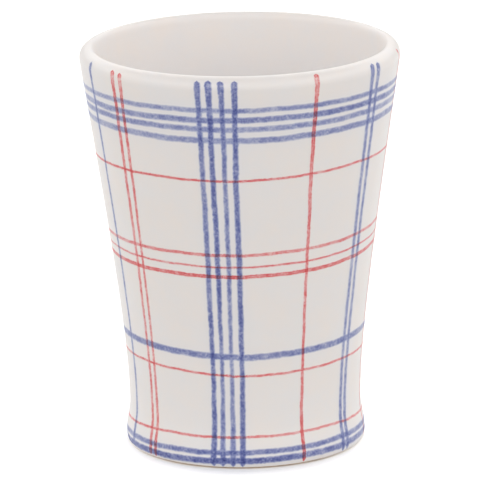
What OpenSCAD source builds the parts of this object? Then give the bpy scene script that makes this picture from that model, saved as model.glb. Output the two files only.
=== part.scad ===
// Flared stoneware tumbler, painted by hand with a blue and red plaid.
//
// The cup is a single piece of fired clay. A thin coat of glaze covers it inside and out
// and stops just above the foot, and a second patch of glaze fills the recess underneath.
// Each painted band or stroke is a thin layer of pigment lying on the glaze. The level
// bands were painted first, so the upright strokes pass over them.
//
// +Z is up. The origin is the centre of the foot ring, at the level of the table.
// Angles of upright strokes are counted from the front, -Y, towards +X.

/* [Cup] */
// Height from the table to the top of the lip
cup_h = 109; // [100:0.5:120]
// Widest diameter, across the lip
rim_d = 85.8; // [82:0.2:92]
// Diameter of the neck above the foot
neck_d = 62.6; // [60:0.2:64]
// Height of the neck
neck_z = 11; // [9:0.5:14]
// Diameter of the swollen foot
foot_d = 64.6; // [63:0.2:68]
// Height at which the foot is widest
foot_z = 2.5; // [2:0.1:4]
// Lean of the wall where it meets the lip, in degrees
lip_lean = 8.7; // [6:0.1:11]
// Radius of the lip's outer shoulder
lip_outer_r = 3; // [2.6:0.1:4]
// Width of the lip's rounded inner edge
lip_inner_w = 1.4; // [1:0.1:1.8]
// Height over which the lip's inner edge is rounded
lip_inner_h = 2.2; // [1.4:0.1:2.4]

/* [Inside and base] */
// Inside diameter at the bottom of the straight wall
well_d = 53.4; // [50:0.2:54.4]
// Height of the inside floor
floor_z = 7.2; // [6.5:0.1:10]
// Radius of the hollow corner round the inside floor
well_fillet = 7.5; // [5:0.5:12]
// Depth of the recess under the base
recess_h = 2; // [1:0.1:2.6]
// Diameter of the recess at its mouth
recess_d = 55; // [50:0.5:57]
// Diameter of the foot ring's outer edge, where it meets the table
ring_d = 61.8; // [60:0.2:62.4]

/* [Glaze] */
// Thickness of the glaze coat
glaze_t = 0.35; // [0.25:0.05:0.5]
// Share of the foot's rounded edge that is left bare
bare_share = 0.4; // [0.3:0.05:0.6]
// Thickness of the glaze patch in the recess
base_glaze_t = 0.3; // [0.2:0.05:0.5]

/* [Painting] */
// Thickness of a level band
band_t = 0.1; // [0.06:0.01:0.15]
// Thickness of an upright stroke
stroke_t = 0.2; // [0.18:0.01:0.3]
// Width of a blue upright stroke, in degrees round the cup
blue_stroke_a = 2; // [1.6:0.1:2.4]
// Width of a red upright stroke, in degrees round the cup
red_stroke_a = 1.7; // [1.4:0.1:2]
// Height at which the upright strokes start, on the lip
stroke_top = 108; // [106:0.1:108.4]
// Height at which the upright strokes end, on the foot
stroke_foot = 1; // [0.9:0.1:1.6]

/* [Hidden] */
$fn = 96;

clay = [0.80, 0.68, 0.52];
glaze_white = [0.88, 0.865, 0.85];
cobalt = [0.40, 0.44, 0.65];
brick = [0.80, 0.45, 0.47];

rim_r = rim_d / 2;
neck_r = neck_d / 2;
foot_r = foot_d / 2;
well_r = well_d / 2;

// Level bands, each as its height and its width
blue_rim = [[100.3, 1.1], [97.7, 1.3], [95.2, 1.3], [92.2, 1.2]];
red_upper = [[81.2, 0.6]];
red_middle = [[60.3, 0.8], [57.1, 0.5], [54.3, 1.1]];
blue_middle = [[31.6, 1.4]];
red_lower = [[26.3, 0.6]];
red_foot = [[8.7, 0.6]];
blue_foot = [[4.6, 1], [2.2, 1]];
all_bands = concat(
    blue_rim, red_upper, red_middle, blue_middle, red_lower, red_foot, blue_foot);

// The outline in (radius, height) is a chain of curves: up the outside, over the lip,
// down the inside. Each straight-ended curve has four control points.
foot_round = 0.8;  // the foot ring lies this far inside the widest part of the foot
arc_k = 0.55;      // reach of the control points that makes a quarter turn round
sway_k = 0.36;     // reach of the control points of the S from foot to neck
neck_reach = 11.2; // how far the neck stays upright
lip_reach = 67;    // how far the lean at the lip carries down the wall

wall_dir = [tan(lip_lean), 1];
shoulder = [rim_r - lip_outer_r, cup_h - lip_outer_r];
wall_top = shoulder + lip_outer_r * [cos(lip_lean), -sin(lip_lean)];
well_top = [rim_r - lip_outer_r - lip_inner_w, cup_h - lip_inner_h];

foot_curve = [
    [foot_r - foot_round, 0],
    [foot_r - foot_round * (1 - arc_k), 0],
    [foot_r, foot_z * (1 - arc_k)],
    [foot_r, foot_z],
];
neck_curve = [
    [foot_r, foot_z],
    [foot_r, foot_z + sway_k * (neck_z - foot_z)],
    [neck_r, neck_z - sway_k * (neck_z - foot_z)],
    [neck_r, neck_z],
];
wall_curve = [
    [neck_r, neck_z],
    [neck_r, neck_z + neck_reach],
    wall_top - lip_reach * wall_dir,
    wall_top,
];
lip_curve = [
    [rim_r - lip_outer_r, cup_h],
    [rim_r - lip_outer_r - arc_k * lip_inner_w, cup_h],
    well_top + arc_k * lip_inner_h * wall_dir,
    well_top,
];
well_curve = [
    well_top,
    well_top - lip_reach * wall_dir,
    [well_r, floor_z + well_fillet + neck_reach],
    [well_r, floor_z + well_fillet],
];
fillet_curve = [
    [well_r, floor_z + well_fillet],
    [well_r, floor_z + well_fillet * (1 - arc_k)],
    [well_r - well_fillet * (1 - arc_k), floor_z],
    [well_r - well_fillet, floor_z],
];

// Point and direction at share t of a curve with control points p
function at(p, t) = let (u = 1 - t)
    u * u * u * p[0] + 3 * u * u * t * p[1] + 3 * u * t * t * p[2] + t * t * t * p[3];
function heading(p, t) = let (
    u = 1 - t,
    v = u * u * (p[1] - p[0]) + 2 * u * t * (p[2] - p[1]) + t * t * (p[3] - p[2])
) v / norm(v);

// Points along a curve from share t0 to its end, moved out of the clay by d.
// The start is left out, because the piece before it ends there.
function beside(p, d, steps, t0 = 0) = [
    for (i = [1:steps])
        let (t = t0 + (1 - t0) * i / steps, v = heading(p, t))
            at(p, t) + d * [v[1], -v[0]]
];
function round_edge(c, r, a0, a1, steps) = [
    for (i = [1:steps]) let (a = a0 + (a1 - a0) * i / steps) c + r * [cos(a), sin(a)]
];

// The point where the glaze stops, moved out by d, and the outline above it
function glaze_stop(d) = let (v = heading(foot_curve, bare_share))
    at(foot_curve, bare_share) + d * [v[1], -v[0]];
function outside_line(d) = concat(
    [glaze_stop(d)],
    beside(foot_curve, d, 4, bare_share),
    beside(neck_curve, d, 7),
    beside(wall_curve, d, 20),
    round_edge(shoulder, lip_outer_r + d, -lip_lean, 90, 9)
);
function inside_line(d) = concat(
    beside(lip_curve, d, 7),
    beside(well_curve, d, 20),
    beside(fillet_curve, d, 6),
    [[0, floor_z + d]]
);
function reversed(list) = [for (i = [len(list) - 1:-1:0]) list[i]];

// Fired clay, bare on the foot ring and its rounded outer edge
module stoneware_body() {
    bare_edge = [
        [ring_d / 2, 0],
        [ring_d / 2 + 0.25, 0],
        glaze_stop(-glaze_t) - 0.2 * heading(foot_curve, bare_share),
        glaze_stop(-glaze_t),
    ];
    ring_slope = 0.8;
    color(clay) rotate_extrude() polygon(concat(
        [[0, recess_h], [recess_d / 2 - ring_slope, recess_h], [recess_d / 2, 0]],
        [[ring_d / 2, 0]],
        beside(bare_edge, 0, 3),
        beside(foot_curve, -glaze_t, 4, bare_share),
        beside(neck_curve, -glaze_t, 7),
        beside(wall_curve, -glaze_t, 20),
        round_edge(shoulder, lip_outer_r - glaze_t, -lip_lean, 90, 9),
        inside_line(-glaze_t)
    ));
}

// Glaze over the outside, the lip, the inside wall and the inside floor
module glaze_coat() {
    color(glaze_white) rotate_extrude() polygon(concat(
        outside_line(0), inside_line(0),
        reversed(inside_line(-glaze_t)), reversed(outside_line(-glaze_t))
    ));
}

// Glaze pooled in the recess under the base
module base_glaze() {
    edge_gap = 1.6;
    color(glaze_white) translate([0, 0, recess_h - base_glaze_t])
        cylinder(d = recess_d - 2 * edge_gap, h = base_glaze_t);
}

// Cut through a layer of thickness t on the outside, between two heights
module layer_section(t, z0, z1) {
    intersection() {
        polygon(concat(outside_line(0), reversed(outside_line(t))));
        translate([neck_r / 2, z0]) square([rim_r, z1 - z0]);
    }
}

module band_section(band) {
    layer_section(band_t, band[0] - band[1] / 2, band[0] + band[1] / 2);
}

// Level bands of paint, each a ring lying on the glaze
module level_bands(bands, tint) {
    color(tint) for (band = bands) rotate_extrude() band_section(band);
}

// Upright strokes of paint, centred on the given angles, over the level bands
module upright_strokes(angles, width, tint) {
    color(tint) for (a = angles)
        rotate([0, 0, a - 90 - width / 2]) rotate_extrude(angle = width) difference() {
            layer_section(stroke_t, stroke_foot, stroke_top);
            for (band = all_bands) band_section(band);
        }
}

module blue_rim_bands() { level_bands(blue_rim, cobalt); }
module red_upper_band() { level_bands(red_upper, brick); }
module red_middle_bands() { level_bands(red_middle, brick); }
module blue_middle_band() { level_bands(blue_middle, cobalt); }
module red_lower_band() { level_bands(red_lower, brick); }
module red_foot_band() { level_bands(red_foot, brick); }
module blue_foot_bands() { level_bands(blue_foot, cobalt); }

module blue_stripe_left() { upright_strokes([-68.6], blue_stroke_a, cobalt); }
module red_pair_left() { upright_strokes([-52.3, -48.3], red_stroke_a, brick); }
module blue_four_front() { upright_strokes([-15.4, -11, -6.5, -1.7], blue_stroke_a, cobalt); }
module red_stripe_front() { upright_strokes([28], red_stroke_a, brick); }
module blue_pair_right() { upright_strokes([54.6, 58.4], blue_stroke_a, cobalt); }
module red_stripe_right() { upright_strokes([80], red_stroke_a, brick); }
module blue_four_back() { upright_strokes([108, 112.5, 117, 121.5], blue_stroke_a, cobalt); }
module red_pair_back() { upright_strokes([146, 150], red_stroke_a, brick); }
module blue_pair_back() { upright_strokes([173, 177.4], blue_stroke_a, cobalt); }
module red_stripe_back() { upright_strokes([202], red_stroke_a, brick); }
module blue_three_back() { upright_strokes([229, 233.5, 238], blue_stroke_a, cobalt); }
module red_stripe_left() { upright_strokes([265], red_stroke_a, brick); }

stoneware_body();
glaze_coat();
base_glaze();
blue_rim_bands();
red_upper_band();
red_middle_bands();
blue_middle_band();
red_lower_band();
red_foot_band();
blue_foot_bands();
blue_stripe_left();
red_pair_left();
blue_four_front();
red_stripe_front();
blue_pair_right();
red_stripe_right();
blue_four_back();
red_pair_back();
blue_pair_back();
red_stripe_back();
blue_three_back();
red_stripe_left();
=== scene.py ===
import math
import bpy
import numpy as np
from mathutils import Matrix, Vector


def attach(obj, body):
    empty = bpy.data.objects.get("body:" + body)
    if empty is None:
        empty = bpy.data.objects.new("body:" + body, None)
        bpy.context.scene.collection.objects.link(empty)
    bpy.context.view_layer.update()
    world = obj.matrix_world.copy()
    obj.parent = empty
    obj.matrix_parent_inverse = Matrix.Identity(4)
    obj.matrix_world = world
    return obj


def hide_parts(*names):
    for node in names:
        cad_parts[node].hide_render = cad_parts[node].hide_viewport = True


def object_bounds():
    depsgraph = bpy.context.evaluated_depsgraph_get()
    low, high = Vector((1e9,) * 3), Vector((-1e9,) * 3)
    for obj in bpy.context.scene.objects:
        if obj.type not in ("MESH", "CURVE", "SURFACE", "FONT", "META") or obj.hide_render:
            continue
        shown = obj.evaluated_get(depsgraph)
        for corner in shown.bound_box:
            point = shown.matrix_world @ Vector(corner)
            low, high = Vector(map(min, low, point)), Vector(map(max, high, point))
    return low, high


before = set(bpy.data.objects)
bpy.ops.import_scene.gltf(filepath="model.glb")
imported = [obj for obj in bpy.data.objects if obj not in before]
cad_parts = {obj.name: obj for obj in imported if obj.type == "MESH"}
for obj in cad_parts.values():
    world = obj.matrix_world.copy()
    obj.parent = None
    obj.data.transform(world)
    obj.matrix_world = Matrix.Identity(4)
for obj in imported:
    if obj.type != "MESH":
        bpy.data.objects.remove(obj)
cadLow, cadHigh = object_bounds()
mm = 0.001
print("frame loaded,", len(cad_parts), "nodes")


def linear(hexColour):  # sRGB hex to linear red, green, blue and alpha
    parts = [int(hexColour[i:i + 2], 16) / 255 for i in (1, 3, 5)]
    return tuple(c / 12.92 if c <= 0.04045 else ((c + 0.055) / 1.055) ** 2.4 for c in parts) + (1.0,)


def addNode(tree, kind, settings, feeds):  # a feed is a socket to link or a plain value
    node = tree.nodes.new("ShaderNode" + kind)
    for name, value in settings.items():
        setattr(node, name, value)
    for place, feed in feeds.items():
        if isinstance(feed, bpy.types.NodeSocket):
            tree.links.new(feed, node.inputs[place])
        else:
            node.inputs[place].default_value = feed
    return node.outputs


def addRamp(tree, feed, places, colours):  # the ramp's stops can't be given as settings
    ramp = tree.nodes.new("ShaderNodeValToRGB")
    tree.links.new(feed, ramp.inputs[0])
    for place in places[1:-1]:
        ramp.color_ramp.elements.new(place)
    for element, colour in zip(ramp.color_ramp.elements, colours):
        element.color = colour
    return ramp.outputs[0]


def newMaterial(name):
    material = bpy.data.materials.new(name)
    material.use_nodes = True
    material.node_tree.nodes.clear()
    return material, material.node_tree


def widestRadius(node):  # mm, from a CAD node's own mesh
    points = np.empty(len(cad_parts[node].data.vertices) * 3)
    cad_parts[node].data.vertices.foreach_get("co", points)
    points = points.reshape(-1, 3)
    return float(np.hypot(points[:, 0], points[:, 1]).max() / mm)


def makePiece(name, points, faces, material, slot, *nodes):  # points in mm
    mesh = bpy.data.meshes.new(name)
    mesh.from_pydata((points * mm).tolist(), [], faces)
    mesh.polygons.foreach_set("use_smooth", np.ones(len(mesh.polygons), bool))
    mesh.set_sharp_from_angle(angle=math.radians(40))
    mesh.materials.append(material)
    piece = bpy.data.objects.new(name, mesh)
    bpy.context.scene.collection.objects.link(piece)
    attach(piece, "root")
    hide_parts(*nodes)
    return piece


def keepOnPoints(piece, name, values):  # three numbers a vertex, for the materials to read
    layer = piece.data.attributes.new(name, "FLOAT_VECTOR", "POINT")
    layer.data.foreach_set("vector", np.stack(values, 1).astype(np.float32).ravel())


# The cup's outline is a chain of curves in (radius, height), in mm
cup = {
    "rimRadius": widestRadius("glaze_coat"),
    "height": cadHigh.z / mm,
    "neckRadius": 31.3,
    "neckHeight": 11.0,
    "footRadius": 32.3,
    "footHeight": 2.5,       # where the foot is widest
    "footRound": 0.8,
    "lipLean": 8.7,          # degrees from upright
    "lipShoulder": 3.0,      # radius of the lip's outer rounding
    "lipInnerWidth": 1.4,    # of its rounded inner edge
    "lipInnerHeight": 2.2,
    "neckReach": 11.2,       # how far up the neck stays upright
    "lipReach": 67.0,        # how far down the wall keeps the lip's lean
    "wellRadius": 26.7,
    "wellFillet": 7.5,
    "floorHeight": 7.2,
    "glaze": 0.35,           # thickness of the coat
    "insidePaintedShade": 0.9,       # painted shade: a cooler, darker tint laid on the glaze down inside the well, on the scale of the haze beside cobalt
    "paintedShadeStart": 4.0,        # mm below the lip, where the painted shade starts
    "paintedShadeDepth": 14.0,       # mm over which the painted shade comes in from there
    "bareShare": 0.4,        # share of the foot's rounding left bare
    "ringRadius": 30.9,      # outer edge of the ring that stands on the table
    "ringRound": 0.3,        # where its flat face starts to round off
    "recessRadius": 27.5,
    "recessDepth": 2.0,
    "recessRound": 1.4,      # width of the recess's rounded corner
    "poolGap": 1.6,          # between the recess's edge and the glaze in it
    "poolBead": 1.2,         # width of that glaze's rounded edge
    "poolThick": 0.3,
    "segments": 256,
    "flatRows": 12,          # rings across the recess
}
arcReach, swayReach = 0.55, 0.36
lean = math.radians(cup["lipLean"])
shoulder = np.array([cup["rimRadius"], cup["height"]]) - cup["lipShoulder"]
wallSlope = np.array([math.tan(lean), 1.0])
wallTop = shoulder + cup["lipShoulder"] * np.array([math.cos(lean), -math.sin(lean)])
wellTop = np.array([shoulder[0] - cup["lipInnerWidth"], cup["height"] - cup["lipInnerHeight"]])


def bend(corners, steps, start=0.0):
    # Point at share t of a cubic curve: u^3 p0 + 3 u^2 t p1 + 3 u t^2 p2 + t^3 p3 with u = 1 - t.
    # The normal is the curve's direction turned a quarter clockwise.
    p = np.array(corners, float)
    t = np.linspace(start, 1, steps + 1)[:, None]
    u = 1 - t
    at = u ** 3 * p[0] + 3 * u * u * t * p[1] + 3 * u * t * t * p[2] + t ** 3 * p[3]
    way = u * u * (p[1] - p[0]) + 2 * u * t * (p[2] - p[1]) + t * t * (p[3] - p[2])
    way /= np.linalg.norm(way, axis=1)[:, None]
    return at, np.stack([way[:, 1], -way[:, 0]], 1)


def roundEdge(centre, radius, fromAngle, toAngle, steps):
    # Centre plus radius times (cosine, sine) of angles in degrees from level.
    a = np.radians(np.linspace(fromAngle, toAngle, steps + 1))
    normal = np.stack([np.cos(a), np.sin(a)], 1)
    return centre + radius * normal, normal


def chain(*curves):  # end to end, each repeated first point dropped
    points = np.concatenate([curves[0][0]] + [c[0][1:] for c in curves[1:]])
    normals = np.concatenate([curves[0][1]] + [c[1][1:] for c in curves[1:]])
    return points, normals


def outsideLine(fine):  # from the glaze's lower edge up the wall to the top of the lip
    foot, footZ, neck, neckZ = (cup[k] for k in ("footRadius", "footHeight", "neckRadius", "neckHeight"))
    footCurve = [
        [foot - cup["footRound"], 0], [foot - cup["footRound"] * (1 - arcReach), 0],
        [foot, footZ * (1 - arcReach)], [foot, footZ]]
    neckCurve = [
        [foot, footZ], [foot, footZ + swayReach * (neckZ - footZ)],
        [neck, neckZ - swayReach * (neckZ - footZ)], [neck, neckZ]]
    wallCurve = [
        [neck, neckZ], [neck, neckZ + cup["neckReach"]],
        wallTop - cup["lipReach"] * wallSlope, wallTop]
    return chain(
        bend(footCurve, round(8 * fine), cup["bareShare"]),
        bend(neckCurve, round(12 * fine)),
        bend(wallCurve, round(100 * fine)),
        roundEdge(shoulder, cup["lipShoulder"], -cup["lipLean"], 90, round(18 * fine)))


def insideLine(fine):  # from the top of the lip down the well to the middle of its floor
    well, fillet, floor = cup["wellRadius"], cup["wellFillet"], cup["floorHeight"]
    lipCurve = [
        [shoulder[0], cup["height"]], [shoulder[0] - arcReach * cup["lipInnerWidth"], cup["height"]],
        wellTop + arcReach * cup["lipInnerHeight"] * wallSlope, wellTop]
    wellCurve = [
        wellTop, wellTop - cup["lipReach"] * wallSlope,
        [well, floor + fillet + cup["neckReach"]], [well, floor + fillet]]
    filletCurve = [
        [well, floor + fillet], [well, floor + fillet * (1 - arcReach)],
        [well - fillet * (1 - arcReach), floor], [well - fillet, floor]]
    radii = np.linspace(well - fillet, 0, round(10 * fine))
    level = np.stack([radii, np.full(len(radii), floor)], 1), np.tile([0.0, 1.0], (len(radii), 1))
    return chain(
        bend(lipCurve, round(12 * fine)), bend(wellCurve, round(60 * fine)),
        bend(filletCurve, round(14 * fine)), level)


def turned(name, line, material, slot, node):
    # Ring i of the grid is profile point (r, z) carried round: (r sin a, -r cos a, z) at evenly spaced
    # angles a. The profile starts and ends on the axis, and the clay or glaze lies on its left.
    count = cup["segments"]
    a = np.linspace(0, 2 * math.pi, count, endpoint=False)
    radius, height = line[1:-1, 0, None], line[1:-1, 1, None]
    rings = np.stack([radius * np.sin(a), -radius * np.cos(a), height + 0 * a], 2)
    points = np.concatenate([rings.reshape(-1, 3), [[0, 0, line[0, 1]], [0, 0, line[-1, 1]]]])
    j = np.arange(count)
    k = (j + 1) % count
    start = np.arange(len(radius) - 1)[:, None] * count
    quads = np.stack([start + j, start + k, start + count + k, start + count + j], 2).reshape(-1, 4)
    first = np.stack([k, j, np.full(count, len(points) - 2)], 1)
    top = (len(radius) - 1) * count
    last = np.stack([top + j, top + k, np.full(count, len(points) - 1)], 1)
    return makePiece(name, points, quads.tolist() + first.tolist() + last.tolist(), material, slot, node)


# A place on the painted side is an angle from the front and a distance up the side from the glaze's edge
sideLine, sideNormal = outsideLine(8)
sideRun = np.concatenate([[0], np.cumsum(np.linalg.norm(np.diff(sideLine, axis=0), axis=1))])
wallRun = float(np.interp(wallTop[1], sideLine[:, 1], sideRun))


def sideAt(s):  # radius, height and the two parts of the normal, by distance up the side
    return [np.interp(s, sideRun, column) for column in (*sideLine.T, *sideNormal.T)]


def upTo(z):  # distance up the side of a height
    return np.interp(z, sideLine[:, 1], sideRun)


def onLip(angle):  # distance up the side of a place on the lip, by its angle from level
    return wallRun + cup["lipShoulder"] * (lean + math.radians(angle))


# Level bands. heights are in mm and load is how much pigment lies there, each at eight places round the cup:
# the left side, the front left, the front, the front right, and so on round the back.
blueRimBands = {
    "piece": "BlueRimBands", "node": "blue_rim_bands", "bands": [
        {"heights": (100.0, 100.4, 100.4, 100.6, 100.5, 100.3, 100.1, 100.0), "width": 1.1,
         "load": (0.36, 0.41, 0.44, 0.56, 0.35, 0.54, 0.41, 0.46)},
        {"heights": (97.2, 97.6, 97.75, 98.1, 98.1, 97.8, 97.5, 97.3), "width": 1.35,
         "load": (0.41, 0.50, 0.59, 0.71, 0.43, 0.52, 0.54, 0.44)},
        {"heights": (95.0, 95.35, 95.15, 95.6, 95.7, 95.4, 95.2, 95.0), "width": 1.25,
         "load": (0.43, 0.55, 0.44, 0.48, 0.32, 0.51, 0.53, 0.53)},
        {"heights": (92.2, 92.3, 92.05, 92.7, 92.8, 92.5, 92.2, 92.1), "width": 1.4,
         "load": (0.37, 0.42, 0.41, 0.59, 0.36, 0.45, 0.42, 0.52)}]}
redUpperBand = {
    "piece": "RedUpperBand", "node": "red_upper_band", "bands": [
        {"heights": (80.8, 81.1, 80.85, 81.9, 82.0, 81.6, 81.2, 80.9), "width": 0.62,
         "load": (0.71, 0.85, 0.75, 0.70, 0.60, 0.75, 0.80, 0.70)}]}
redMiddleBands = {
    "piece": "RedMiddleBands", "node": "red_middle_bands", "bands": [
        {"heights": (60.0, 60.2, 60.0, 60.95, 62.3, 62.2, 61.3, 60.4), "width": 0.8,
         "load": (0.56, 0.66, 0.62, 0.56, 0.50, 0.60, 0.65, 0.60)},
        {"heights": (57.1, 56.9, 56.65, 57.5, 59.1, 59.0, 58.1, 57.4), "width": 0.5,
         "load": (0.56, 0.62, 0.60, 0.65, 0.55, 0.60, 0.60, 0.60)},
        {"heights": (54.4, 54.2, 53.95, 54.8, 56.3, 56.2, 55.3, 54.6), "width": 0.98,
         "load": (0.76, 0.90, 0.90, 0.80, 0.70, 0.85, 0.90, 0.80)}]}
blueMiddleBand = {
    "piece": "BlueMiddleBand", "node": "blue_middle_band", "bands": [
        {"heights": (32.2, 32.0, 31.15, 31.9, 32.4, 32.2, 31.8, 32.0), "width": 1.5,
         "load": (0.51, 0.66, 0.63, 0.61, 0.45, 0.67, 0.59, 0.54)}]}
redLowerBand = {
    "piece": "RedLowerBand", "node": "red_lower_band", "bands": [
        {"heights": (26.9, 26.8, 25.85, 26.5, 26.6, 26.2, 26.3, 26.7), "width": 0.6,
         "load": (0.56, 0.70, 0.68, 0.60, 0.52, 0.65, 0.70, 0.65)}]}
redFootBand = {
    "piece": "RedFootBand", "node": "red_foot_band", "bands": [
        {"heights": (7.3, 8.45, 8.75, 9.0, 8.1, 8.3, 8.6, 7.9), "width": 0.62,
         "load": (0.56, 0.75, 0.58, 0.52, 0.50, 0.60, 0.65, 0.60)}]}
blueFootBands = {
    "piece": "BlueFootBands", "node": "blue_foot_bands", "bands": [
        {"heights": (3.9, 4.3, 4.65, 5.0, 4.9, 4.7, 4.5, 4.2), "width": 1.15,
         "load": (0.55, 0.66, 0.72, 0.66, 0.46, 0.65, 0.70, 0.65)},
        {"heights": (1.8, 1.95, 2.45, 2.7, 2.75, 2.45, 2.25, 2.05), "width": 1.45,
         "load": (0.70, 0.90, 0.92, 0.72, 0.51, 0.75, 0.85, 0.80)}]}
blueBandPieces = [blueRimBands, blueMiddleBand, blueFootBands]
redBandPieces = [redUpperBand, redMiddleBands, redLowerBand, redFootBand]

# Upright strokes. angles are degrees from the front, width is in mm and load is the pigment, each at five
# places from the foot to the lip. top is how far round the lip's shoulder a stroke starts, and curl how far
# it turns aside there, in degrees.
blueStripeLeft = {
    "piece": "BlueStripeLeft", "node": "blue_stripe_left", "strokes": [
        {"angles": (-69.4, -68.3, -67.7, -67.4, -67.1), "width": (1.1, 0.95, 0.95, 1.0, 1.15),
         "load": (0.55, 0.50, 0.55, 0.60, 0.75), "top": 42, "curl": -0.9}]}
redPairLeft = {
    "piece": "RedPairLeft", "node": "red_pair_left", "strokes": [
        {"angles": (-52.6, -52.7, -52.1, -51.7, -51.3), "width": (1.0, 0.85, 0.92, 1.05, 1.3),
         "load": (0.80, 0.62, 0.66, 0.78, 1.00), "top": 42, "curl": -0.8},
        {"angles": (-48.9, -48.9, -48.4, -47.9, -47.4), "width": (1.0, 0.8, 0.8, 0.95, 1.2),
         "load": (0.80, 0.58, 0.66, 0.78, 1.00), "top": 36, "curl": -0.7}]}
blueFourFront = {
    "piece": "BlueFourFront", "node": "blue_four_front", "strokes": [
        {"angles": (-15.6, -15.25, -15.1, -15.0, -15.4), "width": (1.35, 1.0, 1.15, 1.15, 1.25),
         "load": (0.85, 0.85, 0.72, 0.68, 0.88), "top": 42, "curl": -0.2},
        {"angles": (-11.3, -10.9, -10.8, -11.1, -11.3), "width": (1.3, 0.8, 1.1, 1.2, 1.35),
         "load": (0.80, 0.66, 0.95, 0.90, 0.90), "top": 46, "curl": -0.2},
        {"angles": (-6.3, -6.3, -6.25, -6.45, -7.0), "width": (1.35, 0.8, 0.95, 1.0, 1.25),
         "load": (0.70, 0.56, 0.68, 0.64, 0.88), "top": 44, "curl": -0.2},
        {"angles": (-1.7, -1.4, -1.7, -2.25, -2.1), "width": (1.35, 1.05, 1.2, 1.2, 1.2),
         "load": (0.80, 0.88, 0.85, 0.85, 0.90), "top": 44, "curl": 0.0}]}
redStripeFront = {
    "piece": "RedStripeFront", "node": "red_stripe_front", "strokes": [
        {"angles": (28.4, 28.3, 28.05, 27.65, 27.85), "width": (1.0, 0.75, 0.8, 1.0, 1.2),
         "load": (0.85, 0.70, 0.72, 0.76, 0.92), "top": 58, "curl": 0.5}]}
bluePairRight = {
    "piece": "BluePairRight", "node": "blue_pair_right", "strokes": [
        {"angles": (53.75, 54.45, 54.8, 54.65, 54.35), "width": (1.2, 1.0, 1.1, 1.15, 1.25),
         "load": (0.75, 0.50, 0.50, 0.58, 0.72), "top": 44, "curl": 0.8},
        {"angles": (57.3, 58.3, 58.4, 58.3, 57.9), "width": (1.2, 1.05, 1.05, 1.1, 1.2),
         "load": (0.70, 0.52, 0.52, 0.58, 0.72), "top": 42, "curl": 0.8}]}
redStripeRight = {
    "piece": "RedStripeRight", "node": "red_stripe_right", "strokes": [
        {"angles": (80.5, 80.0, 80.0, 80.0, 81.0), "width": (0.9, 0.85, 0.9, 0.95, 1.1),
         "load": (0.60, 0.50, 0.50, 0.55, 0.65), "top": 46, "curl": 0.3}]}
blueFourBack = {
    "piece": "BlueFourBack", "node": "blue_four_back", "strokes": [
        {"angles": (108.3, 108.0, 107.8, 108.0, 108.2), "width": (1.35, 1.05, 1.15, 1.2, 1.3),
         "load": (0.80, 0.70, 0.75, 0.65, 0.80), "top": 43, "curl": 0.2},
        {"angles": (112.2, 112.6, 112.5, 112.4, 112.7), "width": (1.3, 1, 1.1, 1.15, 1.25),
         "load": (0.75, 0.80, 0.70, 0.80, 0.82), "top": 47, "curl": 0.1},
        {"angles": (116.8, 117.0, 117.2, 117.1, 116.8), "width": (1.4, 1.1, 1.2, 1.25, 1.35),
         "load": (0.80, 0.65, 0.85, 0.70, 0.80), "top": 41, "curl": 0.0},
        {"angles": (121.6, 121.4, 121.6, 121.5, 121.3), "width": (1.3, 1, 1.1, 1.15, 1.25),
         "load": (0.75, 0.75, 0.65, 0.80, 0.85), "top": 45, "curl": -0.2}]}
redPairBack = {
    "piece": "RedPairBack", "node": "red_pair_back", "strokes": [
        {"angles": (146.4, 146.2, 146.0, 145.9, 145.8), "width": (1, 0.8, 0.85, 0.98, 1.2),
         "load": (0.80, 0.65, 0.60, 0.75, 0.85), "top": 45, "curl": 0.2},
        {"angles": (150.1, 150.2, 150.1, 149.9, 150.0), "width": (0.98, 0.78, 0.83, 0.96, 1.18),
         "load": (0.75, 0.62, 0.70, 0.65, 0.85), "top": 49, "curl": 0.3}]}
bluePairBack = {
    "piece": "BluePairBack", "node": "blue_pair_back", "strokes": [
        {"angles": (173.2, 173.0, 172.8, 172.9, 173.1), "width": (1.35, 1.05, 1.15, 1.2, 1.3),
         "load": (0.75, 0.60, 0.65, 0.70, 0.80), "top": 47, "curl": 0.2},
        {"angles": (177.5, 177.3, 177.4, 177.6, 177.4), "width": (1.3, 1, 1.1, 1.15, 1.25),
         "load": (0.75, 0.65, 0.60, 0.62, 0.78), "top": 43, "curl": 0.4}]}
redStripeBack = {
    "piece": "RedStripeBack", "node": "red_stripe_back", "strokes": [
        {"angles": (202.3, 202.1, 201.9, 202.0, 202.2), "width": (1.05, 0.85, 0.9, 1.03, 1.25),
         "load": (0.85, 0.70, 0.75, 0.70, 0.80), "top": 53, "curl": -0.3}]}
blueThreeBack = {
    "piece": "BlueThreeBack", "node": "blue_three_back", "strokes": [
        {"angles": (229.2, 229.0, 228.8, 228.9, 229.1), "width": (1.3, 1, 1.1, 1.15, 1.25),
         "load": (0.80, 0.75, 0.65, 0.80, 0.82), "top": 43, "curl": -0.2},
        {"angles": (233.3, 233.5, 233.6, 233.4, 233.5), "width": (1.35, 1.05, 1.15, 1.2, 1.3),
         "load": (0.75, 0.65, 0.85, 0.70, 0.80), "top": 47, "curl": 0.0},
        {"angles": (238.1, 238.0, 237.8, 237.9, 238.2), "width": (1.3, 1, 1.1, 1.15, 1.25),
         "load": (0.80, 0.70, 0.70, 0.75, 0.85), "top": 42, "curl": 0.1}]}
redStripeLeft = {
    "piece": "RedStripeLeft", "node": "red_stripe_left", "strokes": [
        {"angles": (264.6, 264.9, 265.1, 265.0, 264.8), "width": (1, 0.8, 0.85, 0.98, 1.2),
         "load": (0.75, 0.65, 0.70, 0.70, 0.80), "top": 47, "curl": -0.2}]}
blueStrokePieces = [blueStripeLeft, blueFourFront, bluePairRight, blueFourBack, bluePairBack, blueThreeBack]
redStrokePieces = [redPairLeft, redStripeFront, redStripeRight, redPairBack, redStripeBack, redStripeLeft]

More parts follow.
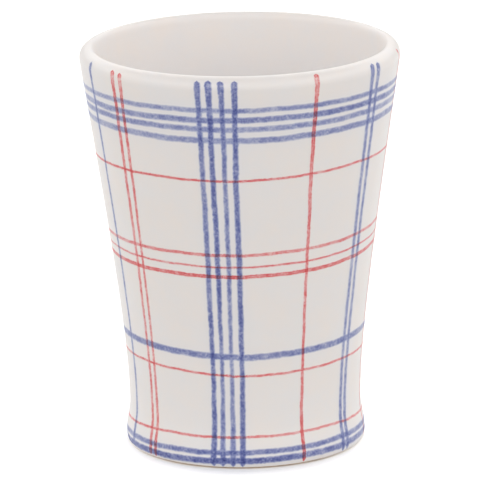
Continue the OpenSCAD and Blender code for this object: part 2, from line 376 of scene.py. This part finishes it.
brush = {
    "strokeFoot": 0.75,       # height at which the uprights end, mm
    "blobLength": 6.0,        # the swelling where the brush is set down on the lip
    "blobSwell": 0.15,        # how much wider the stroke is there
    "poolReach": 1.1,         # of the blob's length, over which the pooling fades out
    "poolWidth": 2.0,         # mm beside a stroke within which its pooling counts
    "footSwell": 0.06,        # how much wider it is where it crosses the foot's bands
    "footSwellAt": 3.5,       # mm above its lower end
    "footSwellSpread": 2.2,
    "capShare": 0.62,         # length of the round top, as a share of the width
    "taper": 1.1,             # length of the pointed end at the foot
    "blueMargin": 0.46,       # glaze carried along on each side of a blue line, for its soft edge
    "redMargin": 0.34,
    "edgeGap": 0.1,           # mm, bare glaze left below the lowest line
    "bandDrop": 0.12,         # mm that all the level bands sit below their heights
    "bandLift": 0.012,        # mm above the glaze: the uprights lie over the bands
    "strokeLift": 0.024,
    "sink": 0.02,             # how deep a line's underside lies in the glaze
    "hazeReach": 1.4,         # mm over which blue tints the glaze beside it
    "rowAngle": 0.4,          # degrees from row to row along a band
    "rowStep": 0.25,          # mm from row to row along an upright
    "endRows": 6,             # rows that round off each end of an upright
}
firstAngle = -90.0            # of a band's eight places
farAway = 9.0                 # mm, for points that no line is near
columnShares = ((1, 1.0), (1, 0.55), (1, 0.25), (1, 0.0), (0.5, 0.0))  # of the half width and the margin


def waver(turns, seed, cycles, amounts):
    # A smooth irregular wave: a sum of sines with whole numbers of cycles, each with an amount and a phase.
    phases = np.random.default_rng(seed).uniform(0, 2 * math.pi, len(cycles))
    return sum(a * np.sin(2 * math.pi * c * turns + p) for c, a, p in zip(cycles, amounts, phases))


def between(a, b, c, d, t):  # smooth curve from b to c at share t, with a before and d after
    return b + 0.5 * t * (c - a + t * (2 * a - 5 * b + 4 * c - d + t * (3 * (b - c) + d - a)))


def roundTheCup(values, angle):  # a closed smooth curve through evenly spaced values
    values = np.array(values, float)
    place = ((angle - firstAngle) % 360) / 360 * len(values)
    k = np.floor(place).astype(int)
    return between(*(values[(k + n) % len(values)] for n in (-1, 0, 1, 2)), place - k)


def upTheSide(values, share):  # a smooth curve through values at evenly spaced shares
    values = np.array(values, float)
    values = np.concatenate([[2 * values[0] - values[1]], values, [2 * values[-1] - values[-2]]])
    place = np.clip(share, 0, 1) * (len(values) - 3)
    k = np.minimum(np.floor(place).astype(int), len(values) - 4)
    return between(*(values[k + n] for n in (0, 1, 2, 3)), place - k)


def bandMiddle(band, angle):
    drift = waver(angle / 360, band["seed"], (9, 17, 31, 57), (0.05, 0.04, 0.03, 0.02))
    return upTo(roundTheCup(band["heights"], angle) - brush["bandDrop"]) + drift


def bandHalf(band, angle, side):
    rough = waver(angle / 360, band["seed"] + side, (13, 29, 61, 97, 173), (0.03, 0.03, 0.03, 0.025, 0.02))
    return band["width"] / 2 * (1 + rough)


def bandLoad(band, angle):
    return roundTheCup(band["load"], angle) + waver(
        angle / 360, band["seed"] + 3, (11, 23, 47), (0.04, 0.04, 0.03))


def strokeEnds(stroke):  # where an upright ends on the foot and starts on the lip, as distances up the side
    return float(upTo(brush["strokeFoot"])), onLip(stroke["top"])


def strokeMiddle(stroke, s):
    # The curl grows with the square of the share of the way over the lip's shoulder.
    end = strokeEnds(stroke)[1]
    aside = np.clip((s - wallRun) / (end - wallRun), 0, 1.5) ** 2
    drift = waver(s / sideRun[-1], stroke["seed"], (3, 7, 13, 29), (0.07, 0.06, 0.04, 0.025))
    return upTheSide(stroke["angles"], s / sideRun[-1]) + stroke["curl"] * aside + drift


def strokeHalf(stroke, s, side):
    # Half the width, with rough edges, a swelling at the top, a slight one at the foot, a round top and a
    # pointed foot. The swelling is sine to the 1.5 over three quarters of a half turn, so it peaks inside
    # the blob. The round top is a quarter circle, the root of one minus the share of the cap squared.
    start, end = strokeEnds(stroke)
    rough = waver(
        s / sideRun[-1], stroke["seed"] + side, (5, 13, 29, 53, 83), (0.04, 0.04, 0.035, 0.03, 0.025))
    blob = np.clip(1 - (end - s) / brush["blobLength"], 0, 1)
    swell = 1 + brush["blobSwell"] * np.sin(blob * math.pi * 0.75) ** 1.5
    swell = swell + brush["footSwell"] * np.exp(
        -((s - start - brush["footSwellAt"]) / brush["footSwellSpread"]) ** 2)
    point = np.sin(np.clip((s - start) / brush["taper"], 0, 1) * math.pi / 2) ** 0.7
    width = upTheSide(stroke["width"], s / sideRun[-1])
    cap = brush["capShare"] * width
    cap = np.sqrt(1 - np.clip((s - end + cap) / cap, 0, 1) ** 2)
    return width / 2 * (1 + rough) * swell * point * cap


def strokeLoad(stroke, s):
    share = s / sideRun[-1]
    return upTheSide(stroke["load"], share) + waver(
        share, stroke["seed"] + 3, (4, 9, 21, 43), (0.04, 0.05, 0.04, 0.03))


paints = {
    "blue": (
        [b for piece in blueBandPieces for b in piece["bands"]],
        [s for piece in blueStrokePieces for s in piece["strokes"]]),
    "red": (
        [b for piece in redBandPieces for b in piece["bands"]],
        [s for piece in redStrokePieces for s in piece["strokes"]]),
}
for number, line in enumerate(line for lines in paints.values() for kind in lines for line in kind):
    line["seed"] = 100 + 10 * number


def paintOver(paint, angle, s):
    # Of all lines of one paint, at each place: distance to the nearest upright's edge and to the nearest
    # band's, negative inside; their loads; the pooling at an upright's top; and the haze, which is the sum
    # over the lines of e to the minus distance over reach.
    bands, strokes = paints[paint]
    radius = sideAt(s)[0]
    edges, loads = np.full((2, len(s)), farAway), np.zeros((2, len(s)))
    pool, haze = np.zeros(len(s)), np.zeros(len(s))
    for band in bands:
        off = s - bandMiddle(band, angle)
        away = np.abs(off) - np.where(off > 0, bandHalf(band, angle, 1), bandHalf(band, angle, 2))
        near = away < edges[1]
        edges[1] = np.where(near, away, edges[1])
        loads[1] = np.where(near, bandLoad(band, angle), loads[1])
        haze += np.exp(-np.maximum(away, 0) / brush["hazeReach"])
    for stroke in strokes:
        start, end = strokeEnds(stroke)
        off = np.radians((angle - strokeMiddle(stroke, s) + 180) % 360 - 180) * radius
        away = np.abs(off) - np.where(off > 0, strokeHalf(stroke, s, 1), strokeHalf(stroke, s, 2))
        past = np.maximum(np.maximum(s - end, start - s), 0)
        away = np.where(past > 0, np.hypot(off, past), away)
        near = away < edges[0]
        edges[0] = np.where(near, away, edges[0])
        loads[0] = np.where(near, strokeLoad(stroke, s), loads[0])
        fade = np.clip(brush["poolReach"] - (end - s) / brush["blobLength"], 0, 1)
        pool = np.where(near & (away < brush["poolWidth"]), fade, pool)
        haze += np.exp(-np.maximum(away, 0) / brush["hazeReach"])
    return edges, loads, pool, haze


def paintPoints(piece, angle, s):
    for paint in paints:
        edges, loads, pool, haze = paintOver(paint, angle, s)
        keepOnPoints(piece, paint + "Edge", [*edges, haze])
        keepOnPoints(piece, paint + "Load", [*loads, pool])


def acrossLine(lower, upper, lowerMargin, upperMargin):
    # Places across a line, from one margin over the middle to the other, as offsets from its middle in mm.
    low = [-(lower * a + lowerMargin * b) for a, b in columnShares]
    high = [upper * a + upperMargin * b for a, b in reversed(columnShares)]
    return np.stack(low + [0 * lower] + high, 1)


def ribbon(angles, runs, lift, closed):
    # A grid of rows along the line and columns across it, lifted off the side along its normal. Two more
    # columns under the outer ones, sunk in the glaze, make it a closed body.
    rows, columns = angles.shape
    angle = np.concatenate([angles, angles[:, [-1, 0]]], 1)
    run = np.concatenate([runs, runs[:, [-1, 0]]], 1)
    height = np.concatenate([np.full((rows, columns), lift), np.full((rows, 2), -brush["sink"])], 1)
    radius, z, outward, upward = sideAt(run)
    radius, z = radius + height * outward, z + height * upward
    a = np.radians(angle)
    points = np.stack([radius * np.sin(a), -radius * np.cos(a), z], 2).reshape(-1, 3)
    around = columns + 2
    i, j = np.meshgrid(np.arange(rows if closed else rows - 1), np.arange(around), indexing="ij")
    nextRow, nextColumn = (i + 1) % rows * around, (j + 1) % around
    faces = np.stack([i * around + j, i * around + nextColumn, nextRow + nextColumn, nextRow + j], 2)
    faces = faces.reshape(-1, 4).tolist()
    if not closed:
        faces.append(list(range(around))[::-1])
        faces.append(list(range((rows - 1) * around, rows * around)))
    return points, faces, angle.ravel(), run.ravel()


def bandRibbon(band, margin):
    angle = np.arange(360, 0, -brush["rowAngle"])
    middle, lower, upper = bandMiddle(band, angle), bandHalf(band, angle, 2), bandHalf(band, angle, 1)
    gap = brush["edgeGap"]
    lowerMargin = np.clip(middle - lower - gap, gap, margin)  # the lowest band stops above the glaze's edge
    across = acrossLine(lower, upper, lowerMargin, margin)
    angles = np.repeat(angle[:, None], across.shape[1], 1)
    return ribbon(angles, middle[:, None] + across, brush["bandLift"], True)


def strokeRibbon(stroke, margin):
    start, end = strokeEnds(stroke)
    rows, lowerMargin = brush["endRows"], min(margin, start - brush["edgeGap"])
    below = start - lowerMargin * np.sin(np.linspace(math.pi / 2, 0, rows, endpoint=False))
    above = end + margin * np.sin(np.linspace(0, math.pi / 2, rows + 1))
    s = np.concatenate([below, np.arange(start, end - brush["rowStep"] / 2, brush["rowStep"]), above])
    past = np.maximum(np.maximum(s - end, start - s), 0) / margin
    edge = margin * np.sqrt(np.maximum(1 - past ** 2, 0.004))  # the last row keeps a little width
    across = acrossLine(strokeHalf(stroke, s, 2), strokeHalf(stroke, s, 1), edge, edge)
    angles = strokeMiddle(stroke, s)[:, None] + np.degrees(across / sideAt(s)[0][:, None])
    return ribbon(angles, np.repeat(s[:, None], across.shape[1], 1), brush["strokeLift"], False)


def paintedPiece(what, paint, material, slot):
    margin = brush[paint + "Margin"]
    made = [bandRibbon(band, margin) for band in what.get("bands", [])]
    made += [strokeRibbon(stroke, margin) for stroke in what.get("strokes", [])]
    faces, count = [], 0
    for points, lineFaces, _, _ in made:
        faces += [[count + k for k in face] for face in lineFaces]
        count += len(points)
    points, angle, run = (np.concatenate([m[k] for m in made]) for k in (0, 2, 3))
    piece = makePiece(what["piece"], points, faces, material, slot, what["node"])
    paintPoints(piece, angle, run)
    print(what["piece"], "painted,", len(made), "lines,", len(points), "points")


def grainOf(size):  # a noise scale, in cycles a metre, from a size in mm
    return 1 / (size * mm)


glassIor = 1.5                # of glaze and fired clay alike
satinGlaze = {
    "white": "#E5E1DF",
    "warm": "#E9E1DB",
    # the cool tint serves the cobalt's haze and also the painted shade inside the well
    "cool": "#DBDBE0",
    "blotch": 9.0,            # mm, slow drifts of tone in the melt
    "mottle": 1.6,            # mm
    "coolHaze": (0.15, 2.4),  # haze at which the cool cast starts and is full
    "coolShare": 0.75,
    "speckSpacing": 3.4,      # mm between iron specks
    "speckSize": 0.16,
    "speck": "#9A9089",
    "speckFree": 0.8,         # share of the places that stay without one
    "speckDepth": 0.6,
    "roughness": 0.38,
    "roughSwing": 0.04,
    "ripple": 2.6,            # mm, the faint uneven melt that breaks up highlights
    "rippleHeight": 0.012,
}


def glazeNodes(tree, haze):
    # White glaze with slow warm and fine mottled drifts, rare specks, a cool cast near cobalt, and painted
    # shade: the same cool tint, darker, down inside the well.
    # Gives its colour, its roughness and its height for bump.
    place = addNode(tree, "TexCoord", {}, {})["Object"]
    blotch = addNode(tree, "TexNoise", {}, {
        "Vector": place, "Scale": grainOf(satinGlaze["blotch"]), "Detail": 2.0})[0]
    mottle = addNode(tree, "TexNoise", {}, {
        "Vector": place, "Scale": grainOf(satinGlaze["mottle"]), "Detail": 3.0, "Roughness": 0.6})[0]
    drift = addNode(tree, "Math", {"operation": "MULTIPLY_ADD"}, {0: mottle, 1: 0.5, 2: blotch})[0]
    drift = addNode(tree, "MapRange", {}, {0: drift, 1: 0.5, 2: 1.0, 3: 0.0, 4: 1.0})[0]  # the noises' range
    colour = addNode(tree, "Mix", {"data_type": "RGBA"}, {
        0: drift, 6: linear(satinGlaze["white"]), 7: linear(satinGlaze["warm"])})[2]
    thin, full = satinGlaze["coolHaze"]
    # The haze is the cobalt's bleed beside blue lines, and inside the well it is painted shade; both pull
    # the colour to the cool tint.
    tint = addNode(tree, "MapRange", {}, {0: haze, 1: thin, 2: full, 3: 0.0, 4: satinGlaze["coolShare"]})[0]
    colour = addNode(tree, "Mix", {"data_type": "RGBA"}, {
        0: tint, 6: colour, 7: linear(satinGlaze["cool"])})[2]
    cell = addNode(tree, "TexVoronoi", {}, {
        "Vector": place, "Scale": grainOf(satinGlaze["speckSpacing"])})
    size = satinGlaze["speckSize"] / satinGlaze["speckSpacing"]
    dot = addNode(tree, "MapRange", {}, {0: cell["Distance"], 1: 0.3 * size, 2: size, 3: 1.0, 4: 0.0})[0]
    chance = addNode(tree, "SeparateColor", {}, {0: cell["Color"]})[0]
    chance = addNode(tree, "MapRange", {}, {
        0: chance, 1: satinGlaze["speckFree"], 2: 1.0, 3: 0.0, 4: satinGlaze["speckDepth"]})[0]
    dot = addNode(tree, "Math", {"operation": "MULTIPLY"}, {0: dot, 1: chance})[0]
    colour = addNode(tree, "Mix", {"data_type": "RGBA"}, {
        0: dot, 6: colour, 7: linear(satinGlaze["speck"])})[2]
    smooth = satinGlaze["roughness"] - satinGlaze["roughSwing"]
    dull = satinGlaze["roughness"] + satinGlaze["roughSwing"]
    rough = addNode(tree, "MapRange", {}, {0: mottle, 1: 0.3, 2: 0.7, 3: smooth, 4: dull})[0]
    ripple = addNode(tree, "TexNoise", {}, {
        "Vector": place, "Scale": grainOf(satinGlaze["ripple"]), "Detail": 1.0})[0]
    return place, colour, rough, ripple


def finishSurface(tree, colour, rough, height, depth):
    bump = addNode(tree, "Bump", {}, {"Strength": 1.0, "Distance": depth * mm, "Height": height})[0]
    surface = addNode(tree, "BsdfPrincipled", {}, {
        "Base Color": colour, "Roughness": rough, "IOR": glassIor, "Normal": bump})[0]
    addNode(tree, "OutputMaterial", {}, {0: surface})


def makeSatinGlaze():
    # Satin white glaze, dipped and fired on stoneware: an even off-white skin with a soft sheen and a few
    # iron specks.
    material, tree = newMaterial("satin white glaze dipped over stoneware")
    haze = addNode(tree, "Attribute", {"attribute_name": "blueEdge"}, {})["Vector"]
    haze = addNode(tree, "SeparateXYZ", {}, {0: haze})[2]
    _, colour, rough, ripple = glazeNodes(tree, haze)
    finishSurface(tree, colour, rough, ripple, satinGlaze["rippleHeight"])
    return material


cobalt = {
    "name": "cobalt oxide brushed under satin glaze",
    "tint": "#7681BB",        # light left by a full load of pigment
    "softness": 0.34,         # mm over which its edge bleeds into the glaze
    "edgeGrain": 0.8,         # mm, size of the wobbles of the edge
    "edgeWobble": 0.26,       # mm, how far they go
    "grain": 0.65,            # mm, mottling in the line
    "patch": 2.4,             # mm, wetter and drier stretches of the stroke
    "mottle": (0.42, 1.5),
    "halo": 0.15,             # load just outside the edge
    "rim": 0.0,               # how much darker the rim of a line is than its middle
    "pooling": 0.5,           # and how much more at a stroke's top, where its middle stays pale
    "overlap": 0.4,           # share of the thinner coat that shows where two lines of it cross
    "dryness": 0.0,
}
ironRed = {
    "name": "iron red drawn dry under satin glaze",
    "tint": "#EC7D80",
    "softness": 0.08,
    "edgeGrain": 0.35,
    "edgeWobble": 0.3,
    "grain": 0.36,
    "patch": 1.8,
    "mottle": (0.35, 1.75),
    "halo": 0.05,
    "rim": 0.3,
    "pooling": 0.3,
    "overlap": 0.6,
    "dryness": 0.95,          # how much pigment the bare flecks near a stroke's top lose
}
wash = {
    "fullLoads": 2.0,         # the ramp runs from none to this many full loads
    "stops": 8,
    "patchShare": 0.7,        # of the patches in the mottling, beside the grain
    "mottleRange": (0.6, 1.1),
    "rimReach": 0.5,          # mm inside the edge over which the rim darkens
    "haloReach": 0.44,        # mm outside it over which the halo fades
    "fleckRange": (0.44, 0.52),  # grain at which bare flecks start and are full
    "fleckTip": (0.98, 0.86),    # pooling at the tip, which stays covered, and where the flecks are full
    "roughening": 0.12,
    "relief": 0.8,            # how far the pigment stands up, on the scale of the glaze's ripple
}


def pigmentNodes(tree, place, paint, look):
    # Load of one pigment at each place. The mask of a line falls from 1 to 0 across its edge, which noise
    # moves to and fro. A coat is mask times the brush's load times mottling, darker at its rim, plus a halo
    # outside. Where an upright crosses a band the thicker coat counts in full and the thinner in part.
    edge = addNode(tree, "Attribute", {"attribute_name": paint + "Edge"}, {})["Vector"]
    edge = addNode(tree, "SeparateXYZ", {}, {0: edge})
    load = addNode(tree, "Attribute", {"attribute_name": paint + "Load"}, {})["Vector"]
    load = addNode(tree, "SeparateXYZ", {}, {0: load})
    wobble = addNode(tree, "TexNoise", {}, {
        "Vector": place, "Scale": grainOf(look["edgeGrain"]), "Detail": 3.0, "Roughness": 0.65})[0]
    grain = addNode(tree, "TexNoise", {}, {
        "Vector": place, "Scale": grainOf(look["grain"]), "Detail": 2.0, "Roughness": 0.6})[0]
    patch = addNode(tree, "TexNoise", {}, {
        "Vector": place, "Scale": grainOf(look["patch"]), "Detail": 2.0})[0]
    mottle = addNode(tree, "Math", {"operation": "MULTIPLY_ADD"}, {
        0: patch, 1: wash["patchShare"], 2: grain})[0]
    (low, high), (pale, dark) = wash["mottleRange"], look["mottle"]
    mottle = addNode(tree, "MapRange", {}, {0: mottle, 1: low, 2: high, 3: pale, 4: dark})[0]
    pooled = addNode(tree, "Math", {"operation": "MULTIPLY_ADD"}, {
        0: load[2], 1: look["pooling"], 2: look["rim"]})[0]
    coats = []
    for axis in (0, 1):
        moved = addNode(tree, "Math", {"operation": "MULTIPLY_ADD"}, {
            0: wobble, 1: 2 * look["edgeWobble"], 2: edge[axis]})[0]
        mask = addNode(tree, "MapRange", {"interpolation_type": "SMOOTHSTEP"}, {
            0: moved, 1: look["edgeWobble"] + look["softness"], 2: look["edgeWobble"] - look["softness"],
            3: 0.0, 4: 1.0})[0]
        rim = addNode(tree, "MapRange", {}, {
            0: moved, 1: look["edgeWobble"] - wash["rimReach"], 2: look["edgeWobble"], 3: -0.5, 4: 0.5})[0]
        rim = addNode(tree, "Math", {"operation": "MULTIPLY_ADD"}, {0: rim, 1: pooled, 2: 1.0})[0]
        laid = addNode(tree, "Math", {"operation": "MULTIPLY"}, {0: mask, 1: load[axis]})[0]
        laid = addNode(tree, "Math", {"operation": "MULTIPLY"}, {0: laid, 1: rim})[0]
        laid = addNode(tree, "Math", {"operation": "MULTIPLY"}, {0: laid, 1: mottle})[0]
        halo = addNode(tree, "MapRange", {"interpolation_type": "SMOOTHSTEP"}, {
            0: edge[axis], 1: wash["haloReach"], 2: 0.0, 3: 0.0, 4: look["halo"]})[0]
        coats.append(addNode(tree, "Math", {"operation": "ADD"}, {0: laid, 1: halo})[0])
    thick = addNode(tree, "Math", {"operation": "MAXIMUM"}, {0: coats[0], 1: coats[1]})[0]
    thin = addNode(tree, "Math", {"operation": "MINIMUM"}, {0: coats[0], 1: coats[1]})[0]
    total = addNode(tree, "Math", {"operation": "MULTIPLY_ADD"}, {0: thin, 1: look["overlap"], 2: thick})[0]
    # Just below a dry stroke's tip the brush skips and leaves the glaze bare in flecks.
    low, high = wash["fleckRange"]
    bare = addNode(tree, "MapRange", {}, {0: grain, 1: low, 2: high, 3: 0.0, 4: look["dryness"]})[0]
    bare = addNode(tree, "Math", {"operation": "MULTIPLY"}, {0: bare, 1: load[2]})[0]
    low, high = wash["fleckTip"]
    gap = addNode(tree, "MapRange", {}, {0: load[2], 1: low, 2: high, 3: 0.0, 4: 1.0})[0]
    bare = addNode(tree, "Math", {"operation": "MULTIPLY"}, {0: bare, 1: gap})[0]
    bare = addNode(tree, "Math", {"operation": "SUBTRACT"}, {0: 1.0, 1: bare})[0]
    total = addNode(tree, "Math", {"operation": "MULTIPLY"}, {0: total, 1: bare})[0]
    share = addNode(tree, "Math", {"operation": "DIVIDE", "use_clamp": True}, {
        0: total, 1: wash["fullLoads"]})[0]
    # Light left by each load: the tint to the power of the load.
    stops = np.linspace(0, 1, wash["stops"])
    tint = np.array(linear(look["tint"]))
    return addRamp(tree, share, stops, [tuple(tint ** (stop * wash["fullLoads"])) for stop in stops]), share


def makePaint(look):
    # Cobalt oxide and iron red brushed on before the glaze: soft blue lines that fade and pool, and grainy
    # red ones. Both lie under the same glaze, so every painted piece reads both, and crossing lines agree.
    material, tree = newMaterial(look["name"])
    haze = addNode(tree, "Attribute", {"attribute_name": "blueEdge"}, {})["Vector"]
    haze = addNode(tree, "SeparateXYZ", {}, {0: haze})[2]
    place, colour, rough, ripple = glazeNodes(tree, haze)
    height = ripple
    for paint, pigment in (("blue", cobalt), ("red", ironRed)):
        left, share = pigmentNodes(tree, place, paint, pigment)
        colour = addNode(tree, "Mix", {"data_type": "RGBA", "blend_type": "MULTIPLY"}, {
            0: 1.0, 6: colour, 7: left})[2]
        rough = addNode(tree, "Math", {"operation": "MULTIPLY_ADD"}, {
            0: share, 1: wash["roughening"], 2: rough})[0]
        height = addNode(tree, "Math", {"operation": "MULTIPLY_ADD"}, {
            0: share, 1: wash["relief"], 2: height})[0]
    finishSurface(tree, colour, rough, height, satinGlaze["rippleHeight"])
    return material


bareClay = {
    "light": "#D2AF82",
    "dark": "#A67C4E",
    "grit": 0.35,             # mm, sand in the clay
    "gritHeight": 0.03,
    "cloud": 4.0,             # mm, wiping marks
    "roughness": 0.85,
}


def makeBareClay():
    # Stoneware clay wiped clean of glaze and fired: matt, sandy, ochre where iron shows.
    material, tree = newMaterial("stoneware clay wiped bare and fired")
    place = addNode(tree, "TexCoord", {}, {})["Object"]
    grit = addNode(tree, "TexNoise", {}, {
        "Vector": place, "Scale": grainOf(bareClay["grit"]), "Detail": 3.0, "Roughness": 0.6})[0]
    cloud = addNode(tree, "TexNoise", {}, {
        "Vector": place, "Scale": grainOf(bareClay["cloud"]), "Detail": 3.0})[0]
    mixed = addNode(tree, "Math", {"operation": "MULTIPLY_ADD"}, {0: grit, 1: 0.6, 2: cloud})[0]
    mixed = addNode(tree, "MapRange", {}, {0: mixed, 1: 0.55, 2: 1.05, 3: 0.0, 4: 1.0})[0]
    colour = addNode(tree, "Mix", {"data_type": "RGBA"}, {
        0: mixed, 6: linear(bareClay["dark"]), 7: linear(bareClay["light"])})[2]
    finishSurface(tree, colour, bareClay["roughness"], grit, bareClay["gritHeight"])
    return material


glazeMaterial = makeSatinGlaze()
blueMaterial = makePaint(cobalt)
redMaterial = makePaint(ironRed)
clayMaterial = makeBareClay()
print("materials made")


def makeBody():
    # Clay from the recess's middle out to the ring, round its edge, up under the glaze, over and down to
    # the well's floor.
    t = cup["glaze"]
    outside, inside = outsideLine(0.6), insideLine(0.6)
    hidden = np.concatenate([outside[0] - t * outside[1], (inside[0] - t * inside[1])[1:]])
    recess, deep, rows = cup["recessRadius"], cup["recessDepth"], cup["flatRows"]
    inner, outer = recess - cup["recessRound"], cup["ringRadius"] - cup["ringRound"]
    ceiling = np.stack([np.linspace(0, inner, rows), np.full(rows, deep)], 1)
    step = bend([[inner, deep], [recess - 0.6, deep], [recess - 0.5, 0.4], [recess, 0.08]], 10)[0][1:]
    flat = np.array([[recess + 0.25, 0.0], [outer, 0.0]])
    stop = hidden[0]
    edge = bend([
        [outer, 0.0], [cup["ringRadius"] + 0.15, 0.0], [stop[0] - 0.05, stop[1] - 0.22], stop], 8)[0][1:]
    line = np.concatenate([ceiling, step, flat, edge, hidden[1:]])
    turned("StonewareBody", line, clayMaterial, "fired_clay", "stoneware_body")


def makeGlazeCoat():
    # A skin of even thickness: its hidden side from the well's floor back to the foot, then its shown side.
    t = cup["glaze"]
    hiddenOut, hiddenIn = outsideLine(0.5), insideLine(0.5)
    hidden = np.concatenate([hiddenOut[0] - t * hiddenOut[1], (hiddenIn[0] - t * hiddenIn[1])[1:]])[::-1]
    outside = outsideLine(1.25)[0]
    line = np.concatenate([hidden, outside, insideLine(1.1)[0][1:]])
    piece = turned("GlazeCoat", line, glazeMaterial, "white_glaze", "glaze_coat")
    # The poles come last among the points, so the side's rings follow the hidden ones in whole rows.
    rows, count = len(line) - 2, cup["segments"]
    run = np.zeros(rows)
    first = len(hidden) - 1
    run[first:first + len(outside)] = np.concatenate(
        [[0], np.cumsum(np.linalg.norm(np.diff(outside, axis=0), axis=1))])
    shown = np.zeros(rows, bool)
    shown[first:first + len(outside)] = True
    angle = np.tile(np.linspace(0, 360, count, endpoint=False), rows)
    haze = paintOver("blue", angle, np.repeat(run, count))[3] * np.repeat(shown, count)
    # Painted shade: inside the well, from a little below the lip downwards, the haze is raised so the glaze
    # turns cooler and darker.
    deep = np.clip((cup["height"] - cup["paintedShadeStart"] - line[1:-1, 1]) / cup["paintedShadeDepth"], 0, 1)
    inside = np.arange(rows) >= first + len(outside)
    haze += cup["insidePaintedShade"] * np.repeat(deep * inside, count)
    haze = np.concatenate([haze, [0, cup["insidePaintedShade"]]])
    keepOnPoints(piece, "blueEdge", [0 * haze, 0 * haze, haze])


def makeBaseGlaze():
    # A shallow pool of glaze in the recess, its edge drawn up in a rounded bead.
    radius, deep = cup["recessRadius"] - cup["poolGap"], cup["recessDepth"]
    face = deep - cup["poolThick"]
    level = np.linspace(0, radius - cup["poolBead"], 10)
    under = np.stack([level, np.full(10, face)], 1)
    bead = bend([
        [level[-1], face], [radius - 0.5, face - 0.16],
        [radius, face], [radius, deep - 0.02]], 8)[0][1:]
    back = np.stack([level[::-1], np.full(10, deep + 0.04)], 1)
    turned("BaseGlaze", np.concatenate([under, bead, back]), glazeMaterial, "white_glaze", "base_glaze")


makeBody()
makeGlazeCoat()
makeBaseGlaze()
print("body and glaze turned")
for piece in blueBandPieces + blueStrokePieces:
    paintedPiece(piece, "blue", blueMaterial, "blue_pigment")
for piece in redBandPieces + redStrokePieces:
    paintedPiece(piece, "red", redMaterial, "red_pigment")


studio = {
    "floorColour": "#FAFAFA",
    "floorSize": 16.0,        # metres
    "paintedFloorGlow": 0.3,         # painted glow: the table top emits light, though it is no lamp, so it stays white round the cup
    # centre of the painted shadow, a little in front of the cup's axis
    "paintedShadowCentre": (0.0, -0.008, 0.0),
    "paintedShadowReach": (0.026, 0.0315),  # metres from there: within the first the glow is off, a painted shadow before the foot; at the second it is full
    "tentLight": 2.2,
    "tent": (                 # the cloth's brightness, by the sine of the height above the horizon
        (-1.0, 0.23), (-0.02, 0.23), (0.0, 0.3), (0.22, 0.3),
        (0.3, 1.0), (0.6, 1.0), (0.68, 0.3), (1.0, 0.05)),
    "sidePower": 0.8,         # watts
    "sidePlace": (1.1, -0.3, 1.15),
    "sideSize": 1.0,
}


def makeStudio():
    # A round cloth tent, brightest in a ring a third to halfway up, with a weak panel at the right.
    world = bpy.data.worlds.new("soft light tent")
    bpy.context.scene.world = world
    world.use_nodes = True
    tree = world.node_tree
    tree.nodes.clear()
    way = addNode(tree, "TexCoord", {}, {})["Generated"]
    rise = addNode(tree, "SeparateXYZ", {}, {0: way})[2]
    rise = addNode(tree, "MapRange", {}, {0: rise, 1: -1.0, 2: 1.0, 3: 0.0, 4: 1.0})[0]
    cloth = addRamp(
        tree, rise, [(sine + 1) / 2 for sine, _ in studio["tent"]],
        [(light, light, light, 1.0) for _, light in studio["tent"]])
    glow = addNode(tree, "Background", {}, {"Color": cloth, "Strength": studio["tentLight"]})[0]
    addNode(tree, "OutputWorld", {}, {0: glow})
    half = studio["floorSize"] / 2
    mesh = bpy.data.meshes.new("Floor")
    corners = [(-half, -half, 0), (half, -half, 0), (half, half, 0), (-half, half, 0)]
    mesh.from_pydata(corners, [], [(0, 1, 2, 3)])
    floor = bpy.data.objects.new("Floor", mesh)
    floor.visible_diffuse = False  # the tent alone lights the cup, from below too
    floor.visible_shadow = False
    bpy.context.scene.collection.objects.link(floor)
    material, tree = newMaterial("white table top with painted glow and shadow")
    # Painted glow and painted shadow: the floor's emission is off close to the cup, centred a little to the
    # front, and rises to full further out.
    place = addNode(tree, "TexCoord", {}, {})["Object"]
    away = addNode(tree, "VectorMath", {"operation": "DISTANCE"}, {0: place, 1: studio["paintedShadowCentre"]})["Value"]
    glow = addNode(tree, "MapRange", {}, {
        0: away, 1: studio["paintedShadowReach"][0], 2: studio["paintedShadowReach"][1], 3: 0.0, 4: studio["paintedFloorGlow"]})[0]
    surface = addNode(tree, "BsdfPrincipled", {}, {
        "Base Color": linear(studio["floorColour"]), "Roughness": 0.9,
        "Emission Color": linear("#FFFFFF"), "Emission Strength": glow})[0]
    addNode(tree, "OutputMaterial", {}, {0: surface})
    mesh.materials.append(material)
    addSoftLight("Side", studio["sidePlace"], studio["sidePower"], studio["sideSize"])


def addSoftLight(name, place, power, size):  # a square panel turned to the middle of the cup
    light = bpy.data.lights.new(name, "AREA")
    light.energy = power
    light.size = size
    lamp = bpy.data.objects.new(name, light)
    lamp.location = place
    middle = (cadLow + cadHigh) / 2
    lamp.rotation_euler = (middle - lamp.location).to_track_quat("-Z", "Y").to_euler()
    bpy.context.scene.collection.objects.link(lamp)


viewpoint = {
    "place": (-0.00076, -1.368, 0.4123),
    "pitch": 75.35,           # degrees from straight down
    "roll": -0.96,
    "lens": 393.5,            # mm, on a 36 mm sensor
}


def makeCamera():
    camera = bpy.data.cameras.new("Camera")
    camera.sensor_width = 36.0
    camera.lens = viewpoint["lens"]
    camera.clip_end = 50.0
    holder = bpy.data.objects.new("Camera", camera)
    holder.matrix_world = (
        Matrix.Translation(viewpoint["place"])
        @ Matrix.Rotation(math.radians(viewpoint["pitch"]), 4, "X")
        @ Matrix.Rotation(math.radians(viewpoint["roll"]), 4, "Z"))
    bpy.context.scene.collection.objects.link(holder)
    bpy.context.scene.camera = holder


makeStudio()
makeCamera()
bpy.context.scene.view_settings.view_transform = "Standard"
print("studio and camera set")
